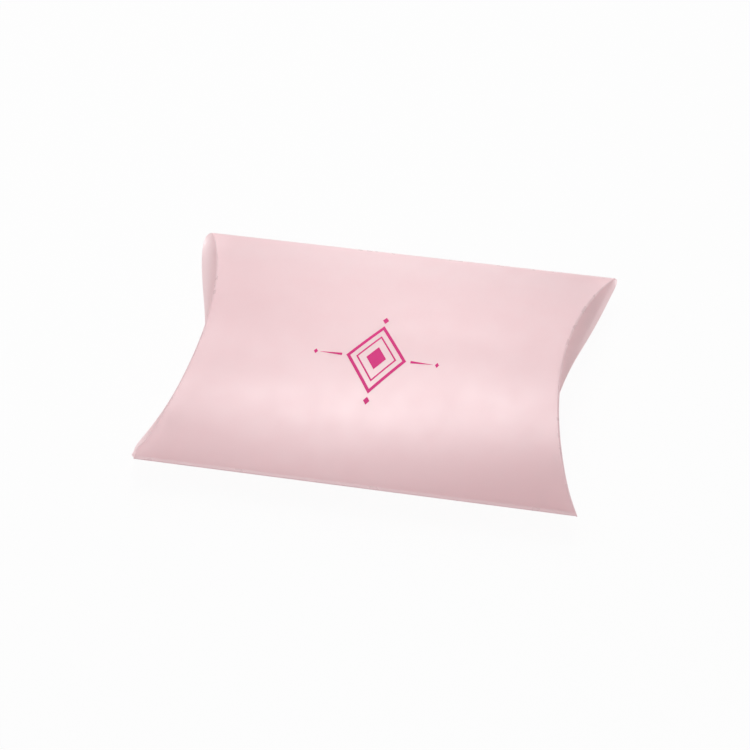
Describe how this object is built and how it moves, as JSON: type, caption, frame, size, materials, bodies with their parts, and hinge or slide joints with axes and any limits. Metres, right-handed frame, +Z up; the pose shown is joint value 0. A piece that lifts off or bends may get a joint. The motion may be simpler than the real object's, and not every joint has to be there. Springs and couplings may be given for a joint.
{
  "type": "pillow box",
  "caption": "Translucent pillow box of folded sheet: two bowed panels glued into a flat tube, with curved end flaps that hinge on curved creases.",
  "frame": {"origin": "on the table, under the middle of the back panel, where the lying box touches it", "axes": "+X along the long folds towards the closed end, +Y across the box towards the glued seam, +Z up through the front panel"},
  "size_m": [0.1247, 0.0897, 0.017],
  "materials": {
    "sheet": "frosted translucent polypropylene sheet with a satin pearl face, pale pink",
    "crease": "the same sheet whitened and smoothed where it is scored and folded",
    "glue": "clear hot-melt glue line",
    "imprint": "thin magenta printed ornament"
  },
  "bodies": {
    "carton": {"front_panel": "sheet", "back_panel": "sheet", "side_fold": "crease", "seam_fold": "crease", "glue_flap": "sheet", "seam_glue": "glue", "left_outer_crease": "crease", "right_outer_crease": "crease", "left_inner_crease": "crease", "right_inner_crease": "crease"},
    "left_outer_flap": {"left_outer_flap": "sheet"},
    "right_outer_flap": {"right_outer_flap": "sheet"},
    "left_inner_flap": {"left_inner_flap": "sheet"},
    "right_inner_flap": {"right_inner_flap": "sheet"}
  },
  "joints": [
    {"name": "left_outer_fold", "type": "hinge", "parent": "carton", "child": "left_outer_flap", "pos_m": [-0.05087, 0, 0.01678], "axis": [0, 1, 0], "range_deg": [0, 90]},
    {"name": "right_outer_fold", "type": "hinge", "parent": "carton", "child": "right_outer_flap", "pos_m": [0.05087, 0, 0.01678], "axis": [0, -1, 0], "range_deg": [0, 90]},
    {"name": "left_inner_fold", "type": "hinge", "parent": "carton", "child": "left_inner_flap", "pos_m": [-0.05008, 0, 0.00022], "axis": [0, -1, 0], "range_deg": [0, 90]},
    {"name": "right_inner_fold", "type": "hinge", "parent": "carton", "child": "right_inner_flap", "pos_m": [0.05008, 0, 0.00022], "axis": [0, 1, 0], "range_deg": [0, 90]}
  ],
  "couplings": [
    {"joint": "left_inner_fold", "follows": "left_outer_fold", "ratio": 1},
    {"joint": "right_inner_fold", "follows": "right_outer_fold", "ratio": 1}
  ]
}
